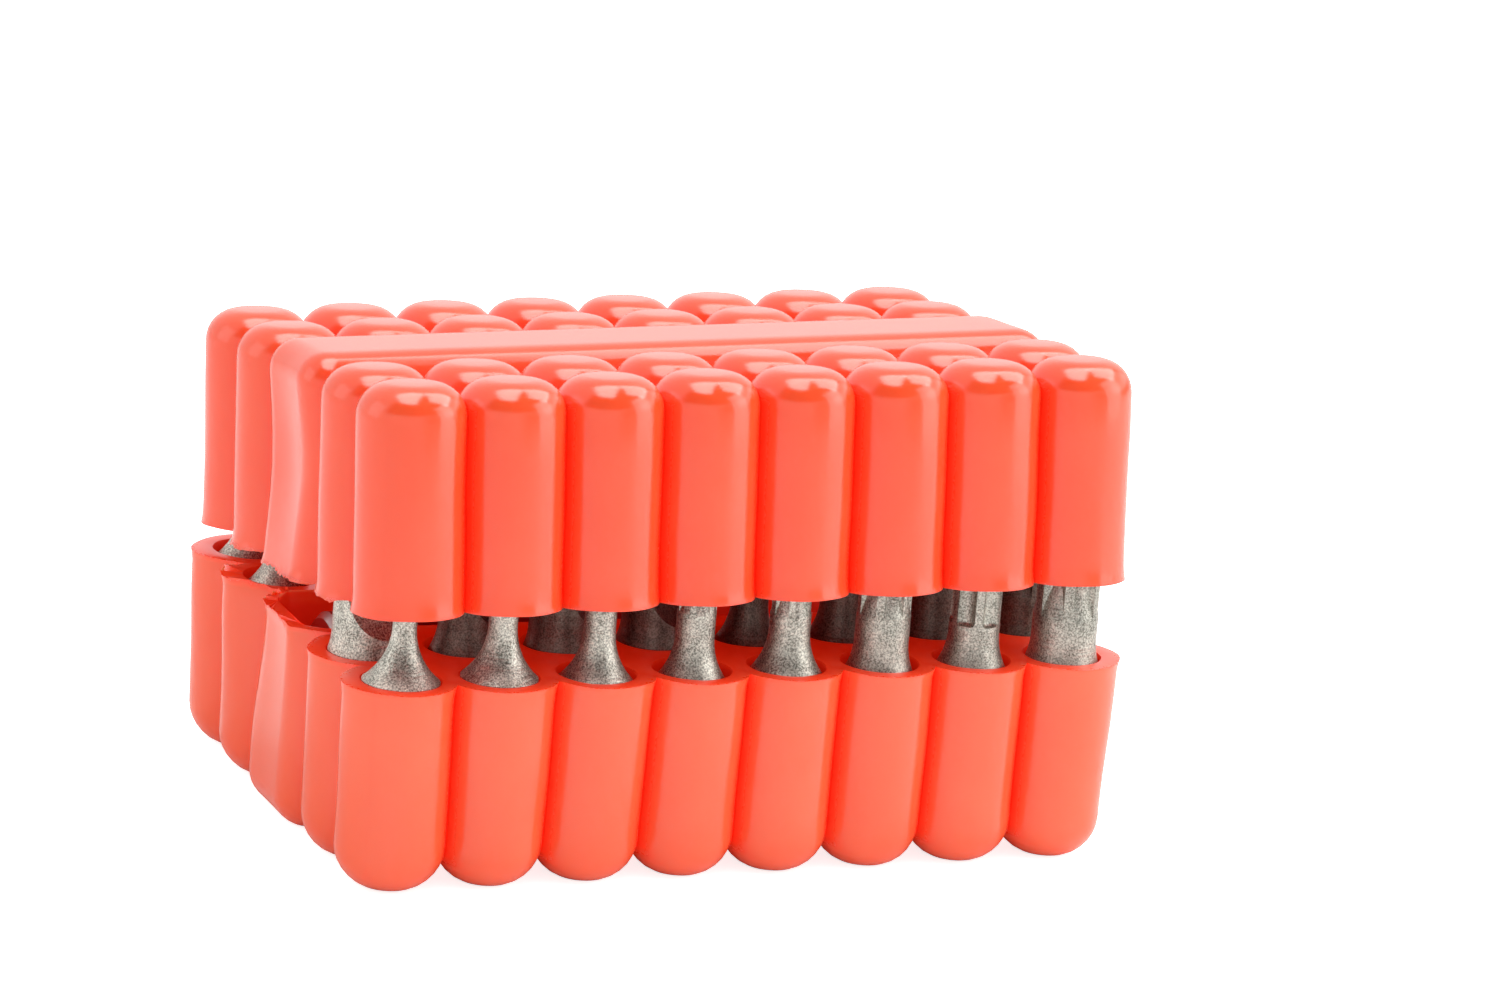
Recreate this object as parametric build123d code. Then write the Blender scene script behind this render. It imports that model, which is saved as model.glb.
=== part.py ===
"""Security bit set: two soft pocketed shells, thirty-two bits and a magnetic bit holder.

Millimetres, +Z up. The origin is under the middle of the tray, on the surface that it
stands on. X runs along the rows of pockets, and the front row is on the -Y side. The cover
is drawn half pulled off and cocked, its front and its right side higher, so that the bits
show between the two shells.
"""
from build123d import *

import os
from math import asin, cos, pi, radians, sin, sqrt, tan

# Shank and neck that every bit has
hex_across_flats = 6.35         # quarter inch drive
hex_corner_diameter = 7.15      # the corners are turned down a little
hex_end_chamfer = 1.0
bit_length = 25.4
bit_hex_length = 15.45          # hexagon and collar, up to where the neck starts
collar_height = 0.6
neck_arc_radius = 6.4           # hollow arc from the collar up to the neck
neck_drop = 1.0                 # a wide bit's neck starts this much lower, in its pocket

# Pockets
pockets_per_row = 8
pocket_clearance = 0.175        # from the hexagon's corners to the tray's pocket
cover_pocket_clearance = 0.685  # from the widest working end to the cover's pocket
pocket_wall = 1.25              # round the tray's pockets; the cover has the same outside
pocket_lap = 0.55               # neighbouring pockets share this much of their walls
pocket_end_round = 1.2
seat_gap = 0.05                 # under a bit that stands in its pocket

# Tray, the lower shell
tray_floor = 4.0
tray_end_round = 4.0
tray_slot_floor = 1.8
tray_slot_draft = 3.2           # degrees; the holder wedges in the narrowing slot

# Cover, the upper shell
cover_lift = 5.2                # from the tray's mouth to the middle of the cover's
cover_tilt = 5.0                # degrees; its front is higher than its back
cover_lean = 1.0                # degrees; its right side is higher than its left
cover_tip_room = 9.4            # over the bits' ends when the cover is pushed home
cover_end_wall = 1.4
cover_end_round = 3.0

# Both shells
web_drop = 3.4                  # the web between the pockets ends this far short of their ends
seam_depth = 2.1                # the web's reach past the line of the outer pockets' centres
bar_gap = 0.15                  # from the bar's side to the nearest pockets
bar_end_round = 3.0
bar_corner_round = 3.5
slot_clearance = 0.35           # each side of the holder, at the slot's mouth
slot_side_wall = 1.3
slot_end_wall = 1.3

# Magnetic bit holder, lying along the slot with its socket to the left
sleeve_diameter = 10.8
sleeve_length = 35.0
sleeve_chamfer = 0.6
sleeve_end_room = 3.8           # from the socket's mouth to the end of the slot
sleeve_seat_gap = 0.03
sleeve_web = 6.0                # solid metal between the magnet and the shank
socket_clearance = 0.05         # each side of a bit's hexagon
socket_depth = 11.0
magnet_diameter = 6.0
magnet_length = 3.0
press_clearance = 0.02          # round the magnet and the shank, which are pressed in
shank_reach = 25.0              # how far the shank stands out of the sleeve
shank_groove_diameter = 5.4
shank_groove_width = 3.0
shank_groove_from_end = 8.0
ring_wire = 0.8
ring_depth = 2.2                # from the socket's mouth to the ring
ring_bore = 6.3
ring_groove_diameter = 8.2
ring_gap = 3.0
ring_clearance = 0.05           # each side of the ring, and round it, in its groove
grip_groove_depth = 0.35
grip_groove_width = 1.2
grip_groove_pitch = 2.4
grip_groove_count = 4
grip_groove_start = 22.0        # from the socket's mouth

# Working ends
end_chamfer = 0.25
pin_hole_share = 0.3            # security hole, as a share of the working end's width
pin_hole_depth = 2.8
flute_depth_share = 0.14        # star flute, as shares of the working end's width
flute_radius_share = 0.21
flute_ramp_angle = 14.0         # degrees; the flute's floor runs out on a cone
flute_ramp_reach = 0.5          # of that cone, past where it comes out of the neck
flute_end_round = 0.4           # of a flute that ends square
blade_scallop_radius = 8.0
blade_straight = 2.4
blade_thickness = 1.7
fork_depth = 1.6
fork_share = 0.42               # width of the fork's gap, as a share of the blade's
wing_length = 3.6
wing_share = 0.24               # thickness of a wing, as a share of the working end's width
wing_taper = 0.12               # narrowing of the winged end, as a share of its width
key_length = 6.0                # hexagon working end
key_shoulder = 0.2              # from a hexagon end's corners to its neck

# Star bits: width of the working end, where its flutes start above the hexagon, whether
# they run out on a ramp, how much lower the neck starts, and the way that one flute faces,
# in degrees from X
star_sizes = (
    (2.2, 6.7, True, 0, -140),
    (2.65, 6.7, True, 0, -150),
    (2.95, 5.9, True, 0.7, -145),
    (3.65, 5.55, True, 1.25, -154),
    (3.85, 4.95, True, 0.8, -142),
    (5.1, 4.7, True, 1.4, -153),
    (4.8, 3.55, False, 1.1, -137),
    (6.2, 4.1, True, 0.7, -143),
    (5.8, 3.6, True, neck_drop, -120),
)

# Spanner bits: size, width of the blade, how much lower the neck starts, and the way that
# a flat faces
spanner_sizes = (
    (10, 6.6, 0, -76),
    (4, 5.0, neck_drop, -40),
    (6, 6.0, neck_drop, -30),
    (8, 6.4, 0, -60),
)

# Offset cross and three-wing bits: size and width of the working end
cross_sizes = ((6, 3.5), (8, 4.1), (10, 4.8))
three_wing_sizes = ((1, 2.4), (2, 3.2), (3, 3.9), (4, 4.6))

# Hexagon key bits: size, in fractions of an inch or in millimetres across the flats
inch = 25.4
inch_key_sizes = ((5, 64), (3, 32), (7, 64), (1, 8), (9, 64), (5, 32))
metric_key_sizes = (2, 2.5, 3, 4, 5, 6)


def key_neck_diameter(across_flats):
    """Neck of a hexagon key, a little wider than its corners."""
    return min(across_flats / cos(pi / 6) + key_shoulder, hex_corner_diameter)


# Places worked out from the sizes above
widest_end = max(
    [row[0] for row in star_sizes]
    + [row[1] for row in spanner_sizes + cross_sizes + three_wing_sizes]
    + [key_neck_diameter(size) for size in metric_key_sizes]
    + [key_neck_diameter(a / b * inch) for a, b in inch_key_sizes]
)
hex_corner_radius = hex_corner_diameter / 2
pocket_radius = hex_corner_radius + pocket_clearance
cover_pocket_radius = widest_end / 2 + cover_pocket_clearance
lobe_radius = pocket_radius + pocket_wall
pitch = 2 * lobe_radius - pocket_lap
sleeve_radius = sleeve_diameter / 2
slot_width = sleeve_diameter + 2 * slot_clearance
bar_width = slot_width + 2 * slot_side_wall
inner_row_y = bar_width / 2 + bar_gap + lobe_radius
outer_row_y = inner_row_y + pitch
last_pocket_x = pitch * (pockets_per_row - 1) / 2
bar_length = 2 * (last_pocket_x + lobe_radius)

tray_height = tray_floor + seat_gap + bit_hex_length
cover_height = bit_length - bit_hex_length + cover_tip_room + cover_end_wall
cover_mouth_z = tray_height + cover_lift
bit_tip_z = tray_floor + seat_gap + bit_length
cover_pivot_z = (cover_mouth_z + bit_tip_z) / 2

slot_length = bar_length - 2 * slot_end_wall
slot_corner_round = bar_corner_round - slot_end_wall
wedge_half_width = (sleeve_radius + sleeve_seat_gap) / cos(radians(tray_slot_draft))
holder_z = tray_height - (slot_width / 2 - wedge_half_width) / tan(radians(tray_slot_draft))
socket_mouth_x = sleeve_end_room - slot_length / 2

row_places = {
    "front": -outer_row_y,
    "front_inner": -inner_row_y,
    "back_inner": inner_row_y,
    "back": outer_row_y,
}
column_places = [(k - (pockets_per_row - 1) / 2) * pitch for k in range(pockets_per_row)]
on_foot = (Align.CENTER, Align.CENTER, Align.MIN)


def round_bar(radius, length, z=0.0):
    """Cylinder standing on height z."""
    return Pos(0, 0, z) * Cylinder(radius, length, align=on_foot)


def hexagon_bar(across_flats, length, z=0.0):
    """Hexagon bar standing on height z, with flats facing Y."""
    return Pos(0, 0, z) * extrude(RegularPolygon(across_flats / 2, 6, major_radius=False), length)


def top_edges(solid):
    """Edges round the highest face."""
    return solid.faces().sort_by(Axis.Z)[-1].edges()


def shell(height, end_wall, end_round, bore_radius, slot_depth, slot_draft):
    """Pocketed shell with its mouth at height 0 and its closed ends up."""
    lobe = round_bar(lobe_radius, height)
    lobe = fillet(top_edges(lobe), end_round)
    web = Box(
        2 * (last_pocket_x + seam_depth),
        2 * (outer_row_y + seam_depth),
        height - web_drop,
        align=on_foot,
    )
    bar = Box(bar_length, bar_width, height, align=on_foot)
    bar = fillet(bar.edges().filter_by(Axis.Z), bar_corner_round)
    bar = fillet(top_edges(bar), bar_end_round)
    bore = round_bar(bore_radius, height - end_wall)
    bore = fillet(top_edges(bore), pocket_end_round)
    slot = RectangleRounded(slot_length, slot_width, slot_corner_round)
    slot = extrude(slot, slot_depth, taper=slot_draft)
    places = [Pos(x, y, 0) for y in row_places.values() for x in column_places]
    body = web + [bar] + [place * lobe for place in places]
    return body - ([slot] + [place * bore for place in places])


def blank(neck_diameter, end=bit_length, drop=neck_drop):
    """Bit without its working end: chamfered hexagon, collar and hollow-sided neck."""
    collar_top = bit_hex_length - drop
    collar_foot = collar_top - collar_height
    turned = round_bar(hex_corner_radius, collar_foot)
    turned = chamfer(turned.edges().sort_by(Axis.Z)[0], hex_end_chamfer)
    neck_radius = neck_diameter / 2
    reach = neck_radius + neck_arc_radius
    rise = sqrt(neck_arc_radius**2 - (reach - hex_corner_radius) ** 2)
    middle_angle = pi + asin(rise / neck_arc_radius) / 2
    arc_start = (hex_corner_radius, collar_top)
    arc_middle = (
        reach + neck_arc_radius * cos(middle_angle),
        collar_top + rise + neck_arc_radius * sin(middle_angle),
    )
    arc_end = (neck_radius, collar_top + rise)
    outline = [
        ThreePointArc(arc_start, arc_middle, arc_end),
        Polyline(
            arc_end,
            (neck_radius, end - end_chamfer),
            (neck_radius - end_chamfer, end),
            (0, end),
            (0, collar_foot),
            (hex_corner_radius, collar_foot),
            arc_start,
        ),
    ]
    neck = revolve(Plane.XZ * make_face(outline), Axis.Z)
    return (hexagon_bar(hex_across_flats, collar_foot) & turned) + neck


def pin_hole(width):
    """Security hole in a working end of this width."""
    return round_bar(pin_hole_share * width / 2, pin_hole_depth, bit_length - pin_hole_depth)


def star_bit(width, flute_start, ramped, drop):
    """Six-flute star bit whose flutes start this far above the hexagon."""
    radius = flute_radius_share * width
    depth = flute_depth_share * width
    foot = bit_hex_length + flute_start
    if ramped:
        slope = tan(radians(flute_ramp_angle))
        ramp_foot = foot - flute_ramp_reach
        ramp_length = 2 * flute_ramp_reach + depth / slope
        ramp_foot_radius = width / 2 + flute_ramp_reach * slope
        ramp_end_radius = ramp_foot_radius - ramp_length * slope
        ramp = Cone(ramp_foot_radius, ramp_end_radius, ramp_length, align=on_foot)
        ramp = Pos(0, 0, ramp_foot) * ramp
        cutter = round_bar(radius, bit_length, ramp_foot)
    else:
        cutter = round_bar(radius, bit_length, foot)
        cutter = fillet(cutter.edges().sort_by(Axis.Z)[0], flute_end_round)
    reach = width / 2 - depth + radius
    flutes = [Rot(0, 0, 60 * k) * Pos(reach, 0, 0) * cutter for k in range(6)]
    if ramped:
        flutes = [flute - ramp for flute in flutes]
    return blank(width, drop=drop) - (flutes + [pin_hole(width)])


def fork_bit(width, drop):
    """Two-pronged spanner bit with a scalloped blade, flats facing X."""
    reach = blade_thickness / 2 + blade_scallop_radius
    height = bit_length - blade_straight
    scallop = Pos(reach, 0, height) * Rot(90, 0, 0) * Cylinder(blade_scallop_radius, 2 * width)
    side = Box(width, 2 * width, bit_length, align=(Align.MIN, Align.CENTER, Align.MIN))
    cutter = scallop + Pos(blade_thickness / 2, 0, height) * side
    gap = Pos(0, 0, bit_length) * Box(width, fork_share * width, 2 * fork_depth)
    return blank(width, drop=drop) - [cutter, Rot(0, 0, 180) * cutter, gap]


def winged_bit(width, wings):
    """Bit whose end has three or four wings, each set to one side of the centre."""
    foot = bit_length - wing_length
    thickness = wing_share * width
    end_radius = (1 - wing_taper) * width / 2
    head = Pos(0, 0, foot) * Cone(width / 2, end_radius, wing_length, align=on_foot)
    wing = Box(width, thickness, wing_length, align=(Align.MIN, Align.MIN, Align.MIN))
    turns = [Rot(0, 0, 360 / wings * k) for k in range(wings)]
    star = round_bar(thickness, wing_length, foot) + [t * Pos(0, 0, foot) * wing for t in turns]
    return blank(width, foot + end_chamfer) + (star & head)


def key_bit(across_flats):
    """Hexagon key bit with a security hole."""
    corner_diameter = across_flats / cos(pi / 6)
    foot = bit_length - key_length
    key = hexagon_bar(across_flats, key_length, foot)
    turned = round_bar(corner_diameter / 2, key_length, foot)
    turned = chamfer(top_edges(turned), end_chamfer)
    neck = blank(key_neck_diameter(across_flats), foot)
    return neck + (key & turned) - pin_hole(across_flats)


def lying_holder(solid):
    """A piece of the holder, made along +Z from the socket's mouth, laid along +X."""
    return Pos(socket_mouth_x, 0, holder_z) * Rot(0, 90, 0) * solid


def holder_sleeve():
    """Round sleeve with a hexagon socket, a magnet seat and grip grooves."""
    body = round_bar(sleeve_radius, sleeve_length)
    body = chamfer(body.edges().filter_by(GeomType.CIRCLE), sleeve_chamfer)
    socket = hexagon_bar(hex_across_flats + 2 * socket_clearance, socket_depth)
    seat = round_bar(magnet_diameter / 2 + press_clearance, magnet_length, socket_depth)
    groove_width = ring_wire + 2 * ring_clearance
    ring_groove = round_bar(ring_groove_diameter / 2, groove_width, ring_depth - ring_clearance)
    shank_start = socket_depth + magnet_length + sleeve_web
    rear = hexagon_bar(hex_across_flats + 2 * press_clearance, sleeve_length, shank_start)
    grooves = []
    for k in range(grip_groove_count):
        start = grip_groove_start + k * grip_groove_pitch
        outer = round_bar(sleeve_diameter, grip_groove_width, start)
        grooves.append(outer - round_bar(sleeve_radius - grip_groove_depth, sleeve_length))
    return lying_holder(body - ([socket, seat, ring_groove, rear] + grooves))


def holder_shank():
    """Hexagon drive shank, pressed into the back of the sleeve."""
    start = socket_depth + magnet_length + sleeve_web + press_clearance
    length = sleeve_length + shank_reach - start
    turned = round_bar(hex_corner_radius, length)
    turned = chamfer(top_edges(turned), hex_end_chamfer)
    shank = hexagon_bar(hex_across_flats, length) & turned
    groove_start = length - shank_groove_from_end - shank_groove_width
    groove = round_bar(hex_across_flats, shank_groove_width, groove_start)
    groove -= round_bar(shank_groove_diameter / 2, length)
    return lying_holder(Pos(0, 0, start) * (shank - groove))


def holder_magnet():
    """Magnet at the bottom of the socket."""
    magnet = round_bar(magnet_diameter / 2, magnet_length - press_clearance)
    magnet = chamfer(magnet.edges().filter_by(GeomType.CIRCLE), end_chamfer)
    return lying_holder(Pos(0, 0, socket_depth) * magnet)


def holder_ring():
    """Open spring ring that grips a bit's hexagon."""
    outer = round_bar(ring_groove_diameter / 2 - ring_clearance, ring_wire, ring_depth)
    ring = outer - round_bar(ring_bore / 2, sleeve_length)
    ring -= Pos(ring_groove_diameter / 2, 0, 0) * Box(
        ring_groove_diameter, ring_gap, sleeve_length, align=on_foot
    )
    return lying_holder(ring)


stars = [
    (f"star_bit_{k + 1}", Rot(0, 0, turn) * star_bit(width, flute_start, ramped, drop))
    for k, (width, flute_start, ramped, drop, turn) in enumerate(star_sizes)
]
spanners = [
    (f"spanner_bit_{size}", Rot(0, 0, turn) * fork_bit(width, drop))
    for size, width, drop, turn in spanner_sizes
]
crosses = [(f"offset_cross_bit_{n}", winged_bit(w, 4)) for n, w in cross_sizes]
three_wings = [(f"three_wing_bit_{n}", winged_bit(w, 3)) for n, w in three_wing_sizes]
inch_keys = [(f"hex_bit_{a}_{b}in", key_bit(a / b * inch)) for a, b in inch_key_sizes]
metric_keys = [(f"hex_bit_{str(w).replace('.', '_')}mm", key_bit(w)) for w in metric_key_sizes]

rows = {
    "front": stars[:pockets_per_row],
    "front_inner": spanners + crosses + stars[pockets_per_row:],
    "back_inner": inch_keys + three_wings[:2],
    "back": metric_keys + three_wings[2:],
}

tray_slot_depth = tray_height - tray_slot_floor
tray = shell(
    tray_height, tray_floor, tray_end_round, pocket_radius, tray_slot_depth, tray_slot_draft
)
cover_bore_depth = cover_height - cover_end_wall
cover = shell(
    cover_height, cover_end_wall, cover_end_round, cover_pocket_radius, cover_bore_depth, 0
)
cocked = Pos(0, 0, cover_pivot_z) * Rot(-cover_tilt, -cover_lean, 0)
parts = {
    "tray": Pos(0, 0, tray_height) * Rot(180, 0, 0) * tray,
    "cover": cocked * Pos(0, 0, cover_mouth_z - cover_pivot_z) * cover,
    "holder_sleeve": holder_sleeve(),
    "holder_shank": holder_shank(),
    "holder_magnet": holder_magnet(),
    "holder_ring": holder_ring(),
}
for row, bits in rows.items():
    for x, (name, bit) in zip(column_places, bits):
        parts[name] = Pos(x, row_places[row], bit_tip_z - bit_length) * bit

os.makedirs("parts", exist_ok=True)
for name, solid in parts.items():
    export_step(solid, f"parts/{name}.step")
print(len(parts), "nodes; tray", round(tray_height, 2), "cover", round(cover_height, 2))
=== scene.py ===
"""Looks of the security bit set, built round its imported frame.

Metres, +Z up, the front row of bits on the -Y side. Two soft moulded shells are modelled
here, with their pockets, webs, centre bars and torn moulding flash, and the steel pieces
get their finishes.
"""

import logging
import math
from dataclasses import dataclass, field
from enum import Enum
from typing import Callable, Iterable, Union

import bmesh
import bpy
from mathutils import Matrix, Vector, noise


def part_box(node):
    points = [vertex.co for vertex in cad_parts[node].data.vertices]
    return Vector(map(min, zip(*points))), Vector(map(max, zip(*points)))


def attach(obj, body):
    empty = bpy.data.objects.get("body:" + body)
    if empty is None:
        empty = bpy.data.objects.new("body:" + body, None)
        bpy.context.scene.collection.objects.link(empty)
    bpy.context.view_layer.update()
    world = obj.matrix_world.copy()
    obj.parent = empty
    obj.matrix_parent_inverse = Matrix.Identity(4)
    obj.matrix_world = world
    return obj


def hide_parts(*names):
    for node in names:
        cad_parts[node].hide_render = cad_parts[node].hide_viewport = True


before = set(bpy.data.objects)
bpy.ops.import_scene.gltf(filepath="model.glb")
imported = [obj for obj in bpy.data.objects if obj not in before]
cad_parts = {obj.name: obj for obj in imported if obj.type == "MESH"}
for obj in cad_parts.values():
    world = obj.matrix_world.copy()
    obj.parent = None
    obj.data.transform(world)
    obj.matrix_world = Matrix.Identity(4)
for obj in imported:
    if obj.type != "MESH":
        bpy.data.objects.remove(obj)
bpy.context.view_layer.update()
log = logging.getLogger("bit_set")
MM = 0.001
UP = Vector((0, 0, 1))
FAR = 200 * MM
FLAT = 1e-5


# Modelling by hand

def deselect_everything() -> None:
    """Leaves edit mode and deselects every object."""
    if bpy.context.object and bpy.context.object.mode == "EDIT":
        bpy.ops.object.mode_set(mode="OBJECT")
    for thing in bpy.context.selected_objects:
        thing.select_set(False)


class Workpiece:
    """A mesh on the bench: one object, its edit mode and its modifiers."""

    def __init__(self, thing: bpy.types.Object) -> None:
        """Takes an object that is already made.

        Args:
            thing: the mesh object.
        """
        self.thing = thing

    @classmethod
    def bar(cls, name: str, radius: float, low: float, high: float, sides: int) -> "Workpiece":
        """A round bar along Z.

        Args:
            name: the object's name.
            radius: the bar's radius.
            low: height of its lower end.
            high: height of its upper end.
            sides: number of its sides.

        Returns:
            The workpiece.
        """
        deselect_everything()
        bpy.ops.mesh.primitive_cylinder_add(
            vertices=sides, radius=radius, depth=high - low, location=(0, 0, (low + high) / 2)
        )
        return cls._fresh(name)

    @classmethod
    def block(cls, name: str, low: Iterable[float], high: Iterable[float]) -> "Workpiece":
        """A block between two corners.

        Args:
            name: the object's name.
            low: its lowest corner.
            high: its highest corner.

        Returns:
            The workpiece.
        """
        deselect_everything()
        low, high = Vector(low), Vector(high)
        bpy.ops.mesh.primitive_cube_add(size=1, location=(low + high) / 2, scale=high - low)
        return cls._fresh(name)

    @classmethod
    def _fresh(cls, name: str) -> "Workpiece":
        """Names the new object and bakes its place into its mesh."""
        thing = bpy.context.object
        thing.name = thing.data.name = name
        bpy.ops.object.transform_apply(location=True, rotation=True, scale=True)
        return cls(thing)

    def focus(self) -> None:
        """Makes this the only selected and the active object."""
        deselect_everything()
        self.thing.select_set(True)
        bpy.context.view_layer.objects.active = self.thing

    def pick(self, kind: str, test: Callable) -> int:
        """Selects in edit mode, by place or normal.

        Args:
            kind: "EDGE" or "FACE".
            test: says of one edge or face whether it is wanted.

        Returns:
            How many were selected.
        """
        if self.thing.mode != "EDIT":
            self.focus()
            bpy.ops.object.mode_set(mode="EDIT")
        bpy.ops.mesh.select_mode(type=kind)
        bpy.ops.mesh.select_all(action="DESELECT")
        mesh = bmesh.from_edit_mesh(self.thing.data)
        parts = {"EDGE": mesh.edges, "FACE": mesh.faces}[kind]
        wanted = [part for part in parts if test(part)]
        for part in wanted:
            part.select_set(True)
        mesh.select_flush_mode()
        bmesh.update_edit_mesh(self.thing.data)
        return len(wanted)

    def bevel(self, offset: float, segments: int) -> None:
        """Rounds the selected edges."""
        bpy.ops.mesh.bevel(offset=offset, segments=segments, affect="EDGES", clamp_overlap=True)

    def pick_upright(self) -> None:
        """Selects the edges between two heights."""
        self.pick("EDGE", lambda edge: abs(edge.verts[0].co.z - edge.verts[1].co.z) > MM)

    def pick_above(self, height: float) -> None:
        """Selects the edges that lie above a height."""
        self.pick("EDGE", lambda edge: all(v.co.z > height for v in edge.verts))

    def ring(self, point: Vector, normal: Vector) -> None:
        """Cuts every face with a plane, which leaves a ring of edges there.

        Args:
            point: a point on the plane.
            normal: the plane's normal.
        """
        self.pick("FACE", lambda part: True)
        bpy.ops.mesh.bisect(plane_co=point, plane_no=normal, use_fill=False)

    def fill_gaps(self) -> None:
        """Closes each open loop of edges that a boolean left."""
        self.pick("FACE", lambda part: True)
        bpy.ops.mesh.fill_holes(sides=0)
        self.close()

    def close(self) -> None:
        """Leaves edit mode."""
        bpy.ops.object.mode_set(mode="OBJECT")

    def copy_at(self, name: str, place: Matrix) -> "Workpiece":
        """A copy with its own mesh.

        Args:
            name: the copy's name.
            place: where it goes.

        Returns:
            The copy.
        """
        twin = self.thing.copy()
        twin.data = self.thing.data.copy()
        twin.name = twin.data.name = name
        twin.data.transform(place)
        bpy.context.scene.collection.objects.link(twin)
        return Workpiece(twin)

    def join(self, others: Iterable["Workpiece"]) -> "Workpiece":
        """Joins other workpieces into this one."""
        self.focus()
        for other in others:
            other.thing.select_set(True)
        bpy.ops.object.join()
        return self

    def combine(self, other: "Workpiece", operation: str) -> None:
        """Adds or cuts the other workpiece's volume, and uses the other one up.

        Args:
            other: the workpiece that is added or cut away.
            operation: "UNION" or "DIFFERENCE".
        """
        self.focus()
        modifier = self.thing.modifiers.new(operation, "BOOLEAN")
        modifier.operation = operation
        modifier.solver = "EXACT"
        modifier.object = other.thing
        bpy.ops.object.modifier_apply(modifier=modifier.name)
        other.discard()

    def discard(self) -> None:
        """Takes the object off the bench."""
        bpy.data.objects.remove(self.thing)

    def shape(self, move: Callable[[Vector], Vector]) -> None:
        """Moves every vertex, as a sculptor would.

        Args:
            move: gives a vertex's new place from its old one.
        """
        for vertex in self.thing.data.vertices:
            vertex.co = move(vertex.co.copy())
        self.thing.data.update()

    def smooth(self, degrees: float) -> None:
        """Shades smooth, apart from edges sharper than this angle."""
        self.focus()
        bpy.ops.object.shade_smooth_by_angle(angle=math.radians(degrees))


# Shader nodes, written as expressions

class Value:
    """A shader socket that number operators extend with Math nodes."""

    def __init__(self, desk: "NodeDesk", socket: bpy.types.NodeSocket) -> None:
        """Wraps a socket of the desk's material.

        Args:
            desk: the node desk that adds nodes.
            socket: an output socket.
        """
        self.desk = desk
        self.socket = socket

    def _math(self, operation: str, first: "Number", second: "Number") -> "Value":
        """One Math node on two values."""
        return self.desk.node("ShaderNodeMath", {"operation": operation}, {0: first, 1: second})

    def __add__(self, other: "Number") -> "Value":
        """Sum."""
        return self._math("ADD", self, other)

    __radd__ = __add__

    def __sub__(self, other: "Number") -> "Value":
        """Difference."""
        return self._math("SUBTRACT", self, other)

    def __rsub__(self, other: "Number") -> "Value":
        """Difference from a number."""
        return self._math("SUBTRACT", other, self)

    def __mul__(self, other: "Number") -> "Value":
        """Product."""
        return self._math("MULTIPLY", self, other)

    __rmul__ = __mul__

    def ramp(self, low: float, high: float, start: float = 0.0, end: float = 1.0) -> "Value":
        """Smooth step from start to end as this value goes from low to high."""
        return self.desk.node(
            "ShaderNodeMapRange",
            {"interpolation_type": "SMOOTHSTEP"},
            {"Value": self, "From Min": low, "From Max": high, "To Min": start, "To Max": end},
        )


Number = Union[Value, float]
Colour = tuple[float, float, float]
BLACK: Colour = (0.0, 0.0, 0.0)
WHITE: Colour = (1.0, 1.0, 1.0)


class NodeDesk:
    """Adds nodes to one node tree."""

    def __init__(self, tree: bpy.types.NodeTree) -> None:
        """Clears the tree.

        Args:
            tree: the material's or the world's nodes.
        """
        self.tree = tree
        tree.nodes.clear()

    def node(
        self,
        kind: str,
        settings: dict | None = None,
        inputs: dict | None = None,
        out: Union[int, str] = 0,
    ) -> Value:
        """Adds a node, with its settings first and then its sockets.

        Args:
            kind: the node's type.
            settings: its properties.
            inputs: numbers, colours or values for its input sockets.
            out: the output that is used next.

        Returns:
            That output.
        """
        made = self.tree.nodes.new(kind)
        for name, setting in (settings or {}).items():
            setattr(made, name, setting)
        for key, given in (inputs or {}).items():
            socket = made.inputs[key]
            if isinstance(given, Value):
                self.tree.links.new(given.socket, socket)
            elif isinstance(given, tuple) and len(given) == 3 and socket.type == "RGBA":
                socket.default_value = (*given, 1.0)
            else:
                socket.default_value = given
        return Value(self, made.outputs[out] if made.outputs else None)

    def place(self) -> Value:
        """Object coordinates."""
        return self.node("ShaderNodeTexCoord", out="Object")

    def mix(self, factor: Number, first: Union[Value, Colour], second: Union[Value, Colour]) -> Value:
        """Blends two colours."""
        return self.node(
            "ShaderNodeMix", {"data_type": "RGBA"}, {0: factor, 6: first, 7: second}, out=2
        )

    def grain(
        self, scale: float, detail: float = 2.0, roughness: float = 0.5, stretch: Colour = (1, 1, 1)
    ) -> Value:
        """Noise between 0 and 1, by place in the object.

        Args:
            scale: grains per metre.
            detail: layers of finer noise.
            roughness: strength of the finer layers.
            stretch: scale along each axis.

        Returns:
            The noise.
        """
        mapped = self.node("ShaderNodeMapping", inputs={"Vector": self.place(), "Scale": stretch})
        return self.node(
            "ShaderNodeTexNoise",
            inputs={"Vector": mapped, "Scale": scale, "Detail": detail, "Roughness": roughness},
        )

    def bump(self, height: Value, strength: float, distance: float) -> Value:
        """Normal from a height."""
        return self.node(
            "ShaderNodeBump", inputs={"Height": height, "Strength": strength, "Distance": distance}
        )

    def surface(self, **sockets: object) -> None:
        """Ends the material in a Principled shader.

        Args:
            sockets: the shader's inputs, with underscores for spaces.
        """
        named = {name.replace("_", " "): given for name, given in sockets.items()}
        shader = self.node("ShaderNodeBsdfPrincipled", inputs=named)
        self.node("ShaderNodeOutputMaterial", inputs={"Surface": shader})


def new_material(name: str) -> tuple[bpy.types.Material, NodeDesk]:
    """An empty node material.

    Args:
        name: the material's name.

    Returns:
        The material and its node desk.
    """
    material = bpy.data.materials.new(name)
    material.use_nodes = True
    return material, NodeDesk(material.node_tree)


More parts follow.
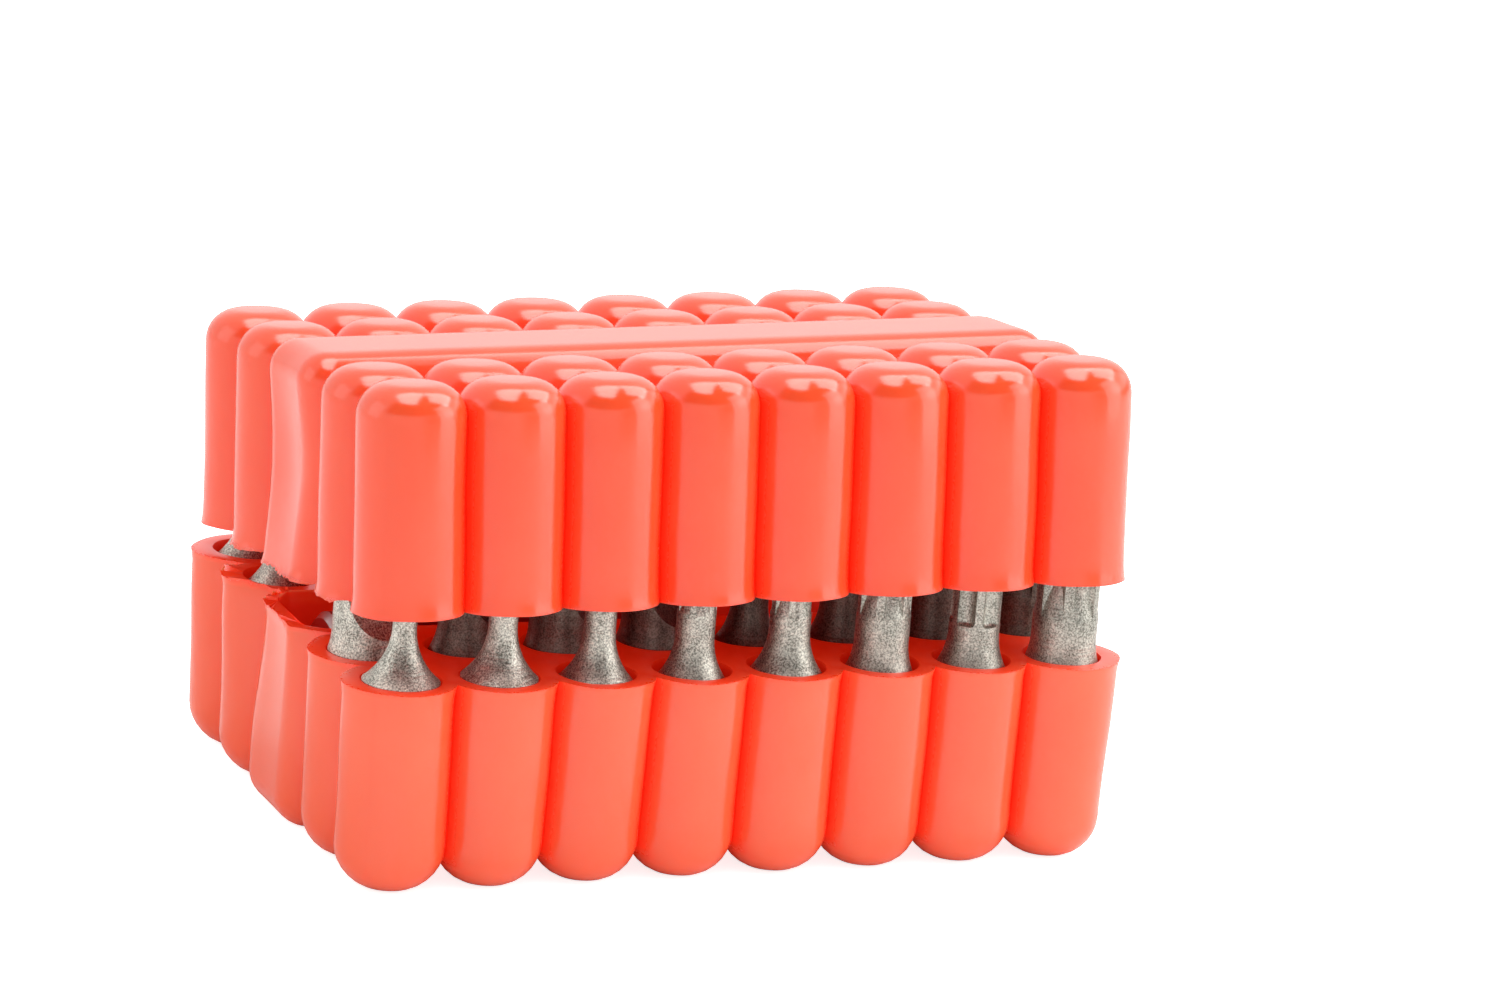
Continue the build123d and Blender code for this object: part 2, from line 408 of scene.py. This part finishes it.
@dataclass(frozen=True)
class SoftVinyl:
    """Satin orange-red vinyl, with painted shade that makes it darker and redder in its hollows, and
    a painted glow, as emission, where light would come through it.
    """

    name: str = "soft_vinyl"
    colour: Colour = (0.98, 0.08, 0.018)
    pale: Colour = (0.99, 0.1, 0.028)
    # deep is painted shade: the darker, redder colour mixed in where a face lies in a seam, pocket or
    # slot. glow is painted light: the emission colour of light through the wall.
    deep: Colour = (0.9, 0.016, 0.004)
    glow: Colour = (0.42, 0.006, 0.0)
    shallow_mm: float = 1.0
    hollow_mm: float = 4.8
    roughness: float = 0.145
    grain_roughness: float = 0.07
    hollow_roughness: float = 0.3
    ior: float = 1.7
    ripple_size: float = 9 * MM
    grain_size: float = 0.4 * MM
    bump_strength: float = 0.12
    scatter: float = 0.2
    scatter_reach: tuple[float, float, float] = (1.2 * MM, 0.25 * MM, 0.12 * MM)

    def make(self) -> bpy.types.Material:
        """Builds the material."""
        material, desk = new_material(self.name)
        inset = desk.node("ShaderNodeAttribute", {"attribute_name": "inset"}, out="Fac")
        through = desk.node("ShaderNodeAttribute", {"attribute_name": "painted_glow"}, out="Fac")
        # hollow: where the inset is deep, the mask of the painted shade.
        hollow = inset.ramp(self.shallow_mm, self.hollow_mm)
        ripple = desk.grain(1 / self.ripple_size, 2.0)
        grain = desk.grain(1 / self.grain_size, 3.0)
        outside = desk.mix(ripple.ramp(0.4, 0.75) * 0.5, self.colour, self.pale)
        # Base Color takes painted shade in the hollows; Emission is a painted glow of light through
        # the wall.
        desk.surface(
            Base_Color=desk.mix(hollow, outside, self.deep),
            Roughness=grain * self.grain_roughness + hollow * self.hollow_roughness + self.roughness,
            Normal=desk.bump(ripple * 0.5 + grain * 0.05, self.bump_strength, 0.1 * MM),
            Emission_Color=desk.mix(through, BLACK, self.glow),
            Emission_Strength=1.0,
            Subsurface_Weight=self.scatter,
            Subsurface_Radius=self.scatter_reach,
            Subsurface_Scale=1.0,
            IOR=self.ior,
        )
        return material


@dataclass(frozen=True)
class BlastedSteel:
    """Grit-blasted tool steel: grey, sparkling, with faint turning marks, and painted light that
    makes it lighter at the set's left end (-X) than at its right end (+X).
    """

    name: str
    colour: Colour = (0.86, 0.84, 0.74)
    dark: Colour = (0.15, 0.145, 0.12)
    roughness: float = 0.28
    grit_roughness: float = 0.25
    grit_size: float = 0.17 * MM
    cloud_size: float = 1.6 * MM
    ring_size: float = 4 * MM
    ring_height: float = 1.1
    bump_strength: float = 0.9

    def make(self) -> bpy.types.Material:
        """Builds the material."""
        material, desk = new_material(self.name)
        grit = desk.grain(1 / self.grit_size, 3.0, 0.6)
        cloud = desk.grain(1 / self.cloud_size, 2.0)
        rings = desk.grain(1 / self.ring_size, 2.0, 0.5, (0.4, 0.4, 14.0))
        # along is X across the set; its ramp paints light, lighter pieces at -X and darker ones at
        # +X.
        along = desk.node("ShaderNodeSeparateXYZ", inputs={0: desk.place()}, out="X")
        speckle = grit.ramp(0.35, 0.65) * 0.75 + cloud.ramp(0.3, 0.7) * 0.25
        colour = desk.mix(speckle * along.ramp(-0.03, 0.03, 1.0, 0.75), self.dark, self.colour)
        desk.surface(
            Base_Color=colour,
            Metallic=0.9,
            Roughness=grit * self.grit_roughness + self.roughness,
            Normal=desk.bump(grit + rings * self.ring_height, self.bump_strength, 0.05 * MM),
        )
        return material


@dataclass(frozen=True)
class TurnedSteel:
    """Smooth turned or plated metal with fine lines round it."""

    name: str
    colour: Colour
    roughness: float
    line_size: float = 3 * MM
    cloud_size: float = 5 * MM
    shade: float = 0.7

    def make(self) -> bpy.types.Material:
        """Builds the material."""
        material, desk = new_material(self.name)
        lines = desk.grain(1 / self.line_size, 2.0, 0.5, (24.0, 0.5, 0.5))
        cloud = desk.grain(1 / self.cloud_size, 2.0)
        shaded = tuple(part * self.shade for part in self.colour)
        colour = desk.mix(cloud * 0.35, self.colour, shaded)
        desk.surface(
            Base_Color=colour,
            Metallic=1.0,
            Roughness=lines * 0.12 + self.roughness,
            Normal=desk.bump(lines, 0.25, 0.03 * MM),
        )
        return material


# Shells

class Side(Enum):
    """Which of the two shells."""

    TRAY = "tray"
    COVER = "cover"


@dataclass(frozen=True)
class PocketGrid:
    """Where the pockets of both shells are."""

    pitch: float = 9.45 * MM
    per_row: int = 8
    lobe_radius: float = 5.0 * MM
    bar_half_width: float = 7.05 * MM
    bar_gap: float = 0.15 * MM

    @property
    def inner_y(self) -> float:
        """Distance of the two inner rows from the middle."""
        return self.bar_half_width + self.bar_gap + self.lobe_radius

    @property
    def outer_y(self) -> float:
        """Distance of the two outer rows from the middle."""
        return self.inner_y + self.pitch

    @property
    def last_x(self) -> float:
        """Distance of the end pockets from the middle."""
        return self.pitch * (self.per_row - 1) / 2

    def places(self) -> list[tuple[int, int, Vector]]:
        """Column, row and place of each pocket."""
        rows = (-self.outer_y, -self.inner_y, self.inner_y, self.outer_y)
        return [
            (column, row, Vector((column * self.pitch - self.last_x, y, 0)))
            for row, y in enumerate(rows)
            for column in range(self.per_row)
        ]


@dataclass(frozen=True)
class Pull:
    """A soft local shift of the moulding, as a sculptor's grab brush makes it.

    Attributes:
        x: place along the rows, in millimetres.
        y: place across the rows, in millimetres.
        reach: how far it reaches in plan, in millimetres.
        shift: how far it moves the moulding along X and Y, in millimetres.
        depth: distance of its middle from the mouth, in millimetres.
        depth_reach: how far it reaches along the pockets, in millimetres.
    """

    x: float
    y: float
    reach: float
    shift: tuple[float, float]
    depth: float = 0.0
    depth_reach: float = 14.0

    def amount(self, x: float, y: float, depth: float) -> float:
        """How strongly it works at a point, from 0 to 1.

        Args:
            x: place along the rows, in millimetres.
            y: place across the rows, in millimetres.
            depth: distance from the mouth, in millimetres.

        Returns:
            The strength.
        """
        plan = math.hypot(x - self.x, y - self.y) / self.reach
        along = abs(depth - self.depth) / self.depth_reach
        if plan >= 1 or along >= 1:
            return 0.0
        return (1 - plan * plan * (3 - 2 * plan)) * (1 - along * along * (3 - 2 * along))


@dataclass(frozen=True)
class DepthNotes:
    """What the vinyl's two attributes say of a shell's hidden faces: the inset sets the painted
    shade, the glow the painted light through the wall.

    Attributes:
        bore: inset noted deep inside a pocket or the slot.
        rim: inset noted near the mouth.
        mouth: least inset noted on the mouth's own face.
        rim_height: how far from the mouth the rim reaches.
        mouth_height: how far from the mouth its own face reaches.
        glow_in_bore: how deep light comes into a pocket.
        glow_in_slot: how deep light comes into the slot.
        glow_reach: how far in from the outside the mouth's face glows.
    """

    bore: float = 4.2 * MM
    rim: float = 2.8 * MM
    mouth: float = 2.4 * MM
    rim_height: float = 0.5 * MM
    mouth_height: float = 0.3 * MM
    glow_in_bore: float = 3 * MM
    glow_in_slot: float = 10 * MM
    glow_reach: float = 6 * MM


@dataclass
class Shell:
    """One soft shell, modelled with its mouth at height 0 and its closed ends up."""

    side: Side
    height: float
    end_wall: float
    end_round: float
    bore_radius: float
    slot_end_wall: float
    place: Matrix
    grid: PocketGrid = field(default_factory=PocketGrid)
    web_drop: float = 3.4 * MM
    seam_depth: float = 1.3 * MM
    bore_end_round: float = 1.2 * MM
    bar_end_round: float = 3.0 * MM
    bar_corner_round: float = 3.5 * MM
    slot_half_width: float = 5.75 * MM
    slot_wall: float = 1.3 * MM
    lip_round: float = 0.22 * MM
    lip_merge: float = 0.0
    overhang: float = 1.0 * MM
    slack: float = 0.02 * MM
    lobe_sides: int = 56
    bore_sides: int = 40
    outer_steps: int = 8
    slot_steps: int = 5
    inner_steps: int = 3
    bar_spans: int = 16
    bar_ridge: float = 0.42 * MM
    crease_degrees: float = 38
    # notes and wall_glow set the painted shade of the hollows and the painted glow of light through
    # the wall.
    notes: DepthNotes = DepthNotes()
    wall_glow: float = 0.55
    ring_heights: tuple[float, ...] = (0.5, 1.2, 2.2, 4.0, 6.5, 9.0, 11.5, 14.0)
    pulls: tuple[Pull, ...] = ()
    torn: tuple[tuple[float, float], ...] = ()
    flip: float = 1.0
    slot_draft: float = math.radians(3.2)
    lobe_reach: float = 6.5
    flare: float = 0.2
    flare_reach: float = 1.5
    wobble: float = 0.12
    wobble_size: float = 8.0
    wobble_depth: float = 3.0
    lip_depth: float = 2.0
    lip_wobble: float = 0.07
    torn_from: float = -34.2
    torn_length: float = 0.5
    seed: int = 7

    def build(self, finish: bpy.types.Material) -> Workpiece:
        """Models the shell, puts it in its place and dresses it.

        Args:
            finish: the vinyl.

        Returns:
            The finished piece.
        """
        body = self._web()
        lobe = self._lobe()
        for shift in (0, 1):
            body.combine(self._spread(lobe, lambda column, row: (column + row) % 2 == shift), "UNION")
        lobe.discard()
        body.combine(self._bar(), "UNION")
        body.combine(Workpiece.block("below", (-FAR, -FAR, -FAR), (FAR, FAR, 0)), "DIFFERENCE")
        bore = self._bore()
        body.combine(self._spread(bore, lambda column, row: True), "DIFFERENCE")
        bore.discard()
        body.combine(self._slot(), "DIFFERENCE")
        body.fill_gaps()
        self._round_lips(body)
        for height in self.ring_heights:
            body.ring(UP * (height * MM), UP)
        body.close()
        body.thing.name = body.thing.data.name = f"{self.side.value}_skin"
        self._note_insets(body)
        body.shape(self._soften)
        body.thing.data.transform(self.place)
        body.thing.data.materials.clear()
        body.thing.data.materials.append(finish)
        body.smooth(self.crease_degrees)
        return body

    def _web(self) -> Workpiece:
        """The web between the pockets."""
        x = self.grid.last_x + self.seam_depth
        y = self.grid.outer_y + self.seam_depth
        top = self.height - self.web_drop
        return Workpiece.block("web", (-x, -y, -0.3 * self.overhang), (x, y, top))

    def _lobe(self) -> Workpiece:
        """The outside of one pocket, with its rounded closed end."""
        sides = self.lobe_sides
        lobe = Workpiece.bar("lobe", self.grid.lobe_radius, -self.overhang, self.height, sides)
        lobe.pick_above(self.height - FLAT)
        lobe.bevel(self.end_round, self.outer_steps)
        lobe.close()
        return lobe

    def _spread(self, model: Workpiece, wanted: Callable[[int, int], bool]) -> Workpiece:
        """Copies of a model at the wanted pockets, joined.

        Args:
            model: the workpiece that is repeated.
            wanted: says of a column and a row whether a copy goes there.

        Returns:
            The joined copies.
        """
        copies = [
            model.copy_at(f"{model.thing.name}_{row}_{column}", Matrix.Translation(place))
            for column, row, place in self.grid.places()
            if wanted(column, row)
        ]
        return copies[0].join(copies[1:])

    def _bar(self) -> Workpiece:
        """The bar down the middle."""
        x = self.grid.last_x + self.grid.lobe_radius
        y = self.grid.bar_half_width
        bar = Workpiece.block("bar", (-x, -y, -0.6 * self.overhang), (x, y, self.height))
        bar.pick_upright()
        bar.bevel(self.bar_corner_round, self.outer_steps)
        bar.pick_above(self.height - FLAT)
        bar.bevel(self.bar_end_round, self.outer_steps)
        half = self.bar_spans // 2
        for step in range(1, self.bar_spans):
            bar.ring(Vector((x * (step / half - 1), 0, 0)), Vector((1, 0, 0)))
        for step in range(-half, half + 1):
            bar.ring(Vector((0, step * self.bar_ridge, 0)), Vector((0, 1, 0)))
        bar.close()
        return bar

    def _bore(self) -> Workpiece:
        """The inside of one pocket."""
        top = self.height - self.end_wall
        bore = Workpiece.bar("bore", self.bore_radius, -2 * self.overhang, top, self.bore_sides)
        bore.pick_above(top - FLAT)
        bore.bevel(self.bore_end_round, self.inner_steps)
        bore.close()
        return bore

    def _slot(self) -> Workpiece:
        """The slot for the bit holder."""
        x = self.grid.last_x + self.grid.lobe_radius - self.slot_wall
        y = self.slot_half_width
        end = self.height - self.slot_end_wall
        slot = Workpiece.block("slot", (-x, -y, -2 * self.overhang), (x, y, end))
        slot.pick_upright()
        slot.bevel(self.bar_corner_round - self.slot_wall, self.slot_steps)
        slot.close()
        return slot

    def _round_lips(self, body: Workpiece) -> None:
        """Rounds the edges of the mouth, after merging points that lie too close for that."""
        def on_lip(edge: bmesh.types.BMEdge) -> bool:
            """Whether an edge is a sharp one at the mouth."""
            level = all(abs(v.co.z) < FLAT / 10 for v in edge.verts)
            return level and len(edge.link_faces) == 2 and edge.calc_face_angle(0) > 1.0

        if self.lip_merge:
            body.pick("EDGE", on_lip)
            bpy.ops.mesh.remove_doubles(threshold=self.lip_merge)
            body.close()
        count = body.pick("EDGE", on_lip)
        body.bevel(self.lip_round, self.inner_steps)
        body.pick("FACE", lambda face: abs(face.calc_center_median().z) < FLAT)
        bpy.ops.mesh.quads_convert_to_tris(quad_method="BEAUTY", ngon_method="BEAUTY")
        log.info("%s: %d lip edges rounded", self.side.value, count)

    def _note_insets(self, body: Workpiece) -> None:
        """Writes on each vertex its inset from the outside, which sets the painted shade of the
        hollows, and the strength of its painted glow of light through the wall.
        """
        grid, notes = self.grid, self.notes
        x_end = grid.last_x + grid.lobe_radius
        y_end = grid.outer_y + grid.lobe_radius
        places = [place for _, _, place in grid.places()]
        inside = self.bore_radius + 0.05 * MM
        slot_end = self.height - self.slot_end_wall
        bore_end = self.height - self.end_wall + self.slack
        names = ("inset", "painted_glow")
        for name in names:
            body.thing.data.attributes.new(name, "FLOAT", "POINT")
        insets, glows = (body.thing.data.attributes[name].data for name in names)
        for vertex, note, glow in zip(body.thing.data.vertices, insets, glows):
            x, y, z = vertex.co
            inset = min(x_end - abs(x), y_end - abs(y), self.height - z)
            round_one = any(math.hypot(x - place.x, y - place.y) < inside for place in places)
            in_bore = z < bore_end and round_one
            in_slot = abs(y) < self.slot_half_width + self.slack and z < slot_end + self.slack
            in_slot = in_slot and abs(x) < x_end - self.slot_wall + self.slack
            # Painted shade and painted glow: pocket and slot walls get deep insets and a glow that
            # fades with depth, the mouth's face some inset and a glow near the outside, outer seams a
            # faint glow.
            if in_bore or in_slot:
                inset = notes.bore if z > notes.rim_height else notes.rim
                depth = notes.glow_in_slot if in_slot else notes.glow_in_bore
                glow.value = self.wall_glow * max(1 - z / depth, 0.0)
            elif z < notes.mouth_height:
                glow.value = self.wall_glow * 0.8 * max(1 - inset / notes.glow_reach, 0.0)
                inset = max(inset, notes.mouth)
            else:
                glow.value = 0.2 * min(max(inset / MM - 1.5, 0.0), 2.0)
            note.value = inset / MM

    def _soften(self, point: Vector) -> Vector:
        """Where a point of the regular shape lies on the soft moulding.

        Args:
            point: a point of the level shell, mouth at height 0.

        Returns:
            The point after the draft, the pulls, the flared lips, the wobble and the tears.
        """
        grid = self.grid
        x, y, depth = point.x / MM, point.y / MM * self.flip, point.z / MM
        plan = Vector((x, y, 0)) * MM
        axis = min((place for _, _, place in grid.places()), key=lambda place: (place - plan).length)
        out = Vector((x - axis.x / MM, y - axis.y / MM, 0))
        near = out.length
        wall = (grid.lobe_radius - self.bore_radius) / MM
        weight = min(max((near - self.bore_radius / MM - 0.05) / (wall - 0.1), 0.0), 1.0)
        half = self.slot_half_width / MM
        slack = self.slack / MM
        x_end = (grid.last_x + grid.lobe_radius) / MM
        slot_depth = (self.height - self.slot_end_wall) / MM
        in_slot = abs(y) < half + slack and abs(x) < x_end - 1.0 and depth < slot_depth + slack
        if in_slot:
            y -= y / half * depth * math.tan(self.slot_draft)
        move = Vector((0, 0, 0))
        for pull in self.pulls:
            amount = pull.amount(x, y, depth)
            move += amount * Vector((*pull.shift, 0))
        flare = self.flare * max(1 - depth / self.flare_reach, 0.0) ** 2
        if near < self.lobe_reach:
            move += out.normalized() * flare
        elif abs(x) > x_end - 1.0:
            move.x += math.copysign(flare, x)
        spot = Vector((x, y, depth)) / self.wobble_size + Vector((self.seed, 0, 0))
        drift = noise.noise_vector(spot) * (0 if in_slot else self.wobble)
        move += Vector((drift.x, drift.y, 0)) * min(depth / self.wobble_depth + 0.4, 1.0)
        moved = Vector((x, y, depth)) + move * weight
        lip = max(1 - depth / self.lip_depth, 0.0)
        moved.z += noise.noise(spot * 2.5) * self.lip_wobble * lip
        torn_here = x < self.torn_from and any(low < y < high for low, high in self.torn)
        if torn_here and depth < 0.1 and weight > 0.7:
            ragged = noise.random() ** 2
            moved.z -= ragged * self.torn_length
            moved.x -= ragged * self.torn_length * 0.5
        return Vector((moved.x, moved.y * self.flip, moved.z)) * MM


@dataclass
class Studio:
    """White studio with large soft lamps, and the camera."""

    camera_place: Vector = field(default_factory=lambda: Vector((-209.7, -490.7, 169.9)) * MM)
    azimuth: float = math.radians(24.05)
    elevation: float = math.radians(14.67)
    roll: float = math.radians(4.92)
    focal_pixels: float = 5810.0
    image_width: int = 1500
    sensor_width: float = 36.0
    fill: float = 0.86
    flag_depth: float = 0.95
    backdrop_gain: float = 0.15
    overhead_gain: float = 4.5
    window_gain: float = 1.15
    wall_depth: float = 0.6
    floor_white: float = 0.8
    lamp_distance: float = 0.8
    lamp_target: Vector = field(default_factory=lambda: Vector((0, 0, 22 * MM)))
    lamps: tuple = (
        ("lamp_left", -82, 20, (0.55, 0.75), 2.2),
        ("lamp_right", 82, 20, (0.45, 0.5), 0.5),
        ("lamp_top", -120, 55, (0.55, 0.5), 3.6),
    )

    def build(self) -> None:
        """Sets up the camera, the floor, the world and the lamps."""
        self._camera()
        self._floor()
        self._world()
        self._lamps()
        bpy.context.scene.view_settings.view_transform = "Standard"

    def _camera(self) -> None:
        """The camera, at the photograph's viewing angle."""
        data = bpy.data.cameras.new("camera")
        data.sensor_width = self.sensor_width
        data.lens = self.focal_pixels / self.image_width * self.sensor_width
        camera = bpy.data.objects.new("camera", data)
        bpy.context.scene.collection.objects.link(camera)
        side = Vector((math.cos(self.azimuth), -math.sin(self.azimuth), 0))
        level = math.cos(self.elevation)
        down = -math.sin(self.elevation)
        ahead = Vector((math.sin(self.azimuth) * level, math.cos(self.azimuth) * level, down))
        up = side.cross(ahead)
        right = math.cos(self.roll) * side + math.sin(self.roll) * up
        above = math.cos(self.roll) * up - math.sin(self.roll) * side
        turned = Matrix((right, above, -ahead)).transposed().to_4x4()
        camera.matrix_world = Matrix.Translation(self.camera_place) @ turned
        bpy.context.scene.camera = camera

    def _floor(self) -> None:
        """A white floor that keeps the shadow."""
        deselect_everything()
        bpy.ops.mesh.primitive_plane_add(size=6, location=(0, 0, 0))
        floor = bpy.context.object
        floor.name = floor.data.name = "floor"
        material, desk = new_material("floor_white")
        cloud = desk.grain(4.0)
        camera_ray = desk.node("ShaderNodeLightPath", out="Is Camera Ray")
        desk.surface(
            Base_Color=desk.mix(cloud, (0.9, 0.9, 0.9), (0.92, 0.92, 0.92)),
            Roughness=cloud * 0.05 + 0.7,
            Specular_IOR_Level=0.1,
            Emission_Color=desk.mix(camera_ray, BLACK, WHITE),
            Emission_Strength=self.floor_white,
        )
        floor.data.materials.append(material)

    def _shown(self, desk: NodeDesk) -> Value:
        """1 for rays that see the background: from the camera, off metal or through glass."""
        kinds = ("Is Camera Ray", "Is Glossy Ray", "Is Transmission Ray")
        camera, glossy, through = (desk.node("ShaderNodeLightPath", out=kind) for kind in kinds)
        return (camera + glossy + through).ramp(0.0, 1.0)

    def _world(self) -> None:
        """White all round, less bright as a light, with softboxes and flags in the gloss.

        The ramps' numbers are cosines: how far a look goes up, towards the camera or to the right.
        """
        world = bpy.data.worlds.new("studio")
        bpy.context.scene.world = world
        world.use_nodes = True
        desk = NodeDesk(world.node_tree)
        toward = Vector((-math.sin(self.azimuth), -math.cos(self.azimuth), 0))
        right = Vector((math.cos(self.azimuth), -math.sin(self.azimuth), 0))
        look = desk.node("ShaderNodeTexCoord", out="Generated")
        dot = {"operation": "DOT_PRODUCT"}
        rise, ahead, aside = (
            desk.node("ShaderNodeVectorMath", dot, {0: look, 1: way}, out="Value")
            for way in (UP, toward, right)
        )
        overhead = rise.ramp(0.86, 0.93) * aside.ramp(0.1, 0.2, 1.0, 0.0) * aside.ramp(-0.45, -0.3)
        flag = rise.ramp(0.3, 0.45) * (ahead + aside).ramp(-0.4, -0.1) * (1.0 - overhead)
        backdrop = ahead.ramp(-0.9, -0.7, 1.0, 0.0) * rise.ramp(0.4, 0.6, 1.0, 0.0)
        window = aside.ramp(0.5, 0.6) * ahead.ramp(0.1, 0.3, 1.0, 0.0)
        window = window * rise.ramp(0.08, 0.2) * rise.ramp(0.6, 0.72, 1.0, 0.0)
        wall = aside.ramp(0.3, 0.75) * rise.ramp(0.25, 0.4, 1.0, 0.0)
        glossy = desk.node("ShaderNodeLightPath", out="Is Glossy Ray")
        shown = self._shown(desk)
        boxes = backdrop * self.backdrop_gain + overhead * self.overhead_gain
        pattern = boxes + window * self.window_gain
        pattern = pattern - flag * self.flag_depth - wall * self.wall_depth
        strength = shown * (1.0 - self.fill) + self.fill + glossy * pattern
        light = desk.node("ShaderNodeBackground", inputs={"Color": WHITE, "Strength": strength})
        desk.node("ShaderNodeOutputWorld", inputs={"Surface": light})

    def _lamps(self) -> None:
        """Soft lamps: low at the left and at the right, and high behind."""
        for name, azimuth, elevation, size, power in self.lamps:
            turn = self.azimuth + math.radians(azimuth)
            rise = math.radians(elevation)
            level = math.cos(rise)
            away = Vector((-math.sin(turn) * level, -math.cos(turn) * level, math.sin(rise)))
            data = bpy.data.lights.new(name, "AREA")
            data.shape = "RECTANGLE"
            data.size, data.size_y = size
            data.energy = power
            lamp = bpy.data.objects.new(name, data)
            bpy.context.scene.collection.objects.link(lamp)
            turned = away.to_track_quat("Z", "Y").to_matrix().to_4x4()
            place = self.lamp_target + away * self.lamp_distance
            lamp.matrix_world = Matrix.Translation(place) @ turned


@dataclass
class BitSet:
    """The whole set: two shells and the steel pieces in them."""

    tilt: float = math.radians(5.0)
    lean: float = math.radians(1.0)
    cover_lift: float = 5.2 * MM
    bit_tip_z: float = 29.45 * MM
    # inner_reach and first_column pick the bits that get the painted-shade copy of the steel.
    inner_reach: float = 17 * MM
    first_column: float = -30 * MM
    seed: int = 5

    def _tray_pulls(self) -> tuple[Pull, ...]:
        """How the tray's soft moulding departs from its regular shape: front seams, then ends."""
        seams = (-0.1, 0.35, 0.48, 0.24, 0.1, 0.05, 0.05)
        front = tuple(
            Pull(9.45 * (number - 3), -25.5, 4.6, (shift, 0.0), 0.0, 15.0)
            for number, shift in enumerate(seams)
        )
        return front + (
            Pull(-38.1, 21.65, 5.2, (-0.75, 0.0), 0.0, 19.0),
            Pull(-38.1, 12.2, 4.6, (-0.7, 0.0), 0.0, 18.0),
            Pull(-38.1, 7.0, 5.0, (1.4, 0.0), 0.0, 14.0),
            Pull(-38.1, 0.0, 9.5, (0.4, 0.0), 0.0, 30.0),
            Pull(-36.8, -6.2, 3.6, (-0.1, 1.2), 0.0, 13.0),
            Pull(-38.1, -12.2, 4.6, (-0.3, 0.0), 0.0, 18.0),
            Pull(-38.1, -21.65, 5.2, (-0.4, 0.0), 0.0, 18.0),
            Pull(38.1, -21.65, 6.0, (0.5, 0.0), 0.0, 17.0),
        )

    def build(self) -> None:
        """Builds the shells and dresses the steel."""
        noise.seed_set(self.seed)
        tray_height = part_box("tray")[1].z
        tray = Shell(
            Side.TRAY,
            height=tray_height,
            end_wall=4.0 * MM,
            end_round=4.0 * MM,
            bore_radius=3.75 * MM,
            slot_end_wall=1.8 * MM,
            place=Matrix.Translation((0, 0, tray_height)) @ Matrix.Rotation(math.pi, 4, "X"),
            pulls=self._tray_pulls(),
            torn=((-4.5, 7.5), (8.5, 16.0)),
            flip=-1.0,
            seed=11,
            lip_round=0.32 * MM,
        )
        mouth = tray_height + self.cover_lift
        pivot = (mouth + self.bit_tip_z) / 2
        cocked = (
            Matrix.Translation((0, 0, pivot))
            @ Matrix.Rotation(-self.tilt, 4, "X")
            @ Matrix.Rotation(-self.lean, 4, "Y")
            @ Matrix.Translation((0, 0, mouth - pivot))
        )
        cover = Shell(
            Side.COVER,
            height=20.75 * MM,
            end_wall=1.4 * MM,
            end_round=3.0 * MM,
            bore_radius=4.25 * MM,
            slot_end_wall=1.4 * MM,
            place=cocked,
            pulls=(Pull(-38.1, 0.0, 11.0, (1.2, 0.0), 10.5, 13.0),),
            torn=((-17.5, 17.3),),
            lip_merge=0.01 * MM,
            wall_glow=0.1,
            flare=0.14,
        )
        vinyl = SoftVinyl()
        # The tray gets a lighter copy of the cover's vinyl: painted light that makes the tray look
        # lighter than the cover.
        painted_lighter_vinyl = SoftVinyl("soft_vinyl_tray", (0.98, 0.115, 0.036), (0.99, 0.14, 0.05))
        for shell, finish in ((tray, painted_lighter_vinyl), (cover, vinyl)):
            piece = shell.build(finish.make()).thing
            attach(piece, shell.side.value)
            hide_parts(shell.side.value)
            log.info("%s: %d faces", piece.name, len(piece.data.polygons))
        self._dress_steel()

    def _dress_steel(self) -> None:
        """Gives each steel piece its finish; the inner bits get a darker copy of the blasted steel,
        painted shade for the gap under the cover.
        """
        finishes = {
            "holder_sleeve": TurnedSteel("satin_sleeve", (0.62, 0.62, 0.63), 0.25).make(),
            "holder_shank": TurnedSteel("satin_shank", (0.5, 0.5, 0.5), 0.3).make(),
            "holder_magnet": TurnedSteel("nickel_plating", (0.75, 0.73, 0.7), 0.15).make(),
            "holder_ring": TurnedSteel("dark_spring_steel", (0.3, 0.3, 0.32), 0.35).make(),
        }
        steel = BlastedSteel("blasted_steel").make()
        # A darker copy of the blasted steel: painted shade for the bits in the shaded gap between the
        # shells.
        shaded = BlastedSteel("dark_blasted_steel", (0.32, 0.28, 0.24), (0.09, 0.075, 0.06))
        shade_painted_steel = shaded.make()
        for name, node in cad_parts.items():
            if name in ("tray", "cover"):
                continue
            low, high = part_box(name)
            middle = (low + high) / 2
            # inner: the bits of the two inner rows, apart from the left-end column, which get the
            # painted shade.
            inner = abs(middle.y) < self.inner_reach and middle.x > self.first_column
            node.data.materials.clear()
            node.data.materials.append(finishes.get(name, shade_painted_steel if inner else steel))
            log.info("%s: dressed", name)


def main() -> None:
    """Builds the studio and the bit set."""
    logging.basicConfig(level=logging.INFO, format="%(message)s")
    Studio().build()
    BitSet().build()


if __name__ == "__main__":
    main()
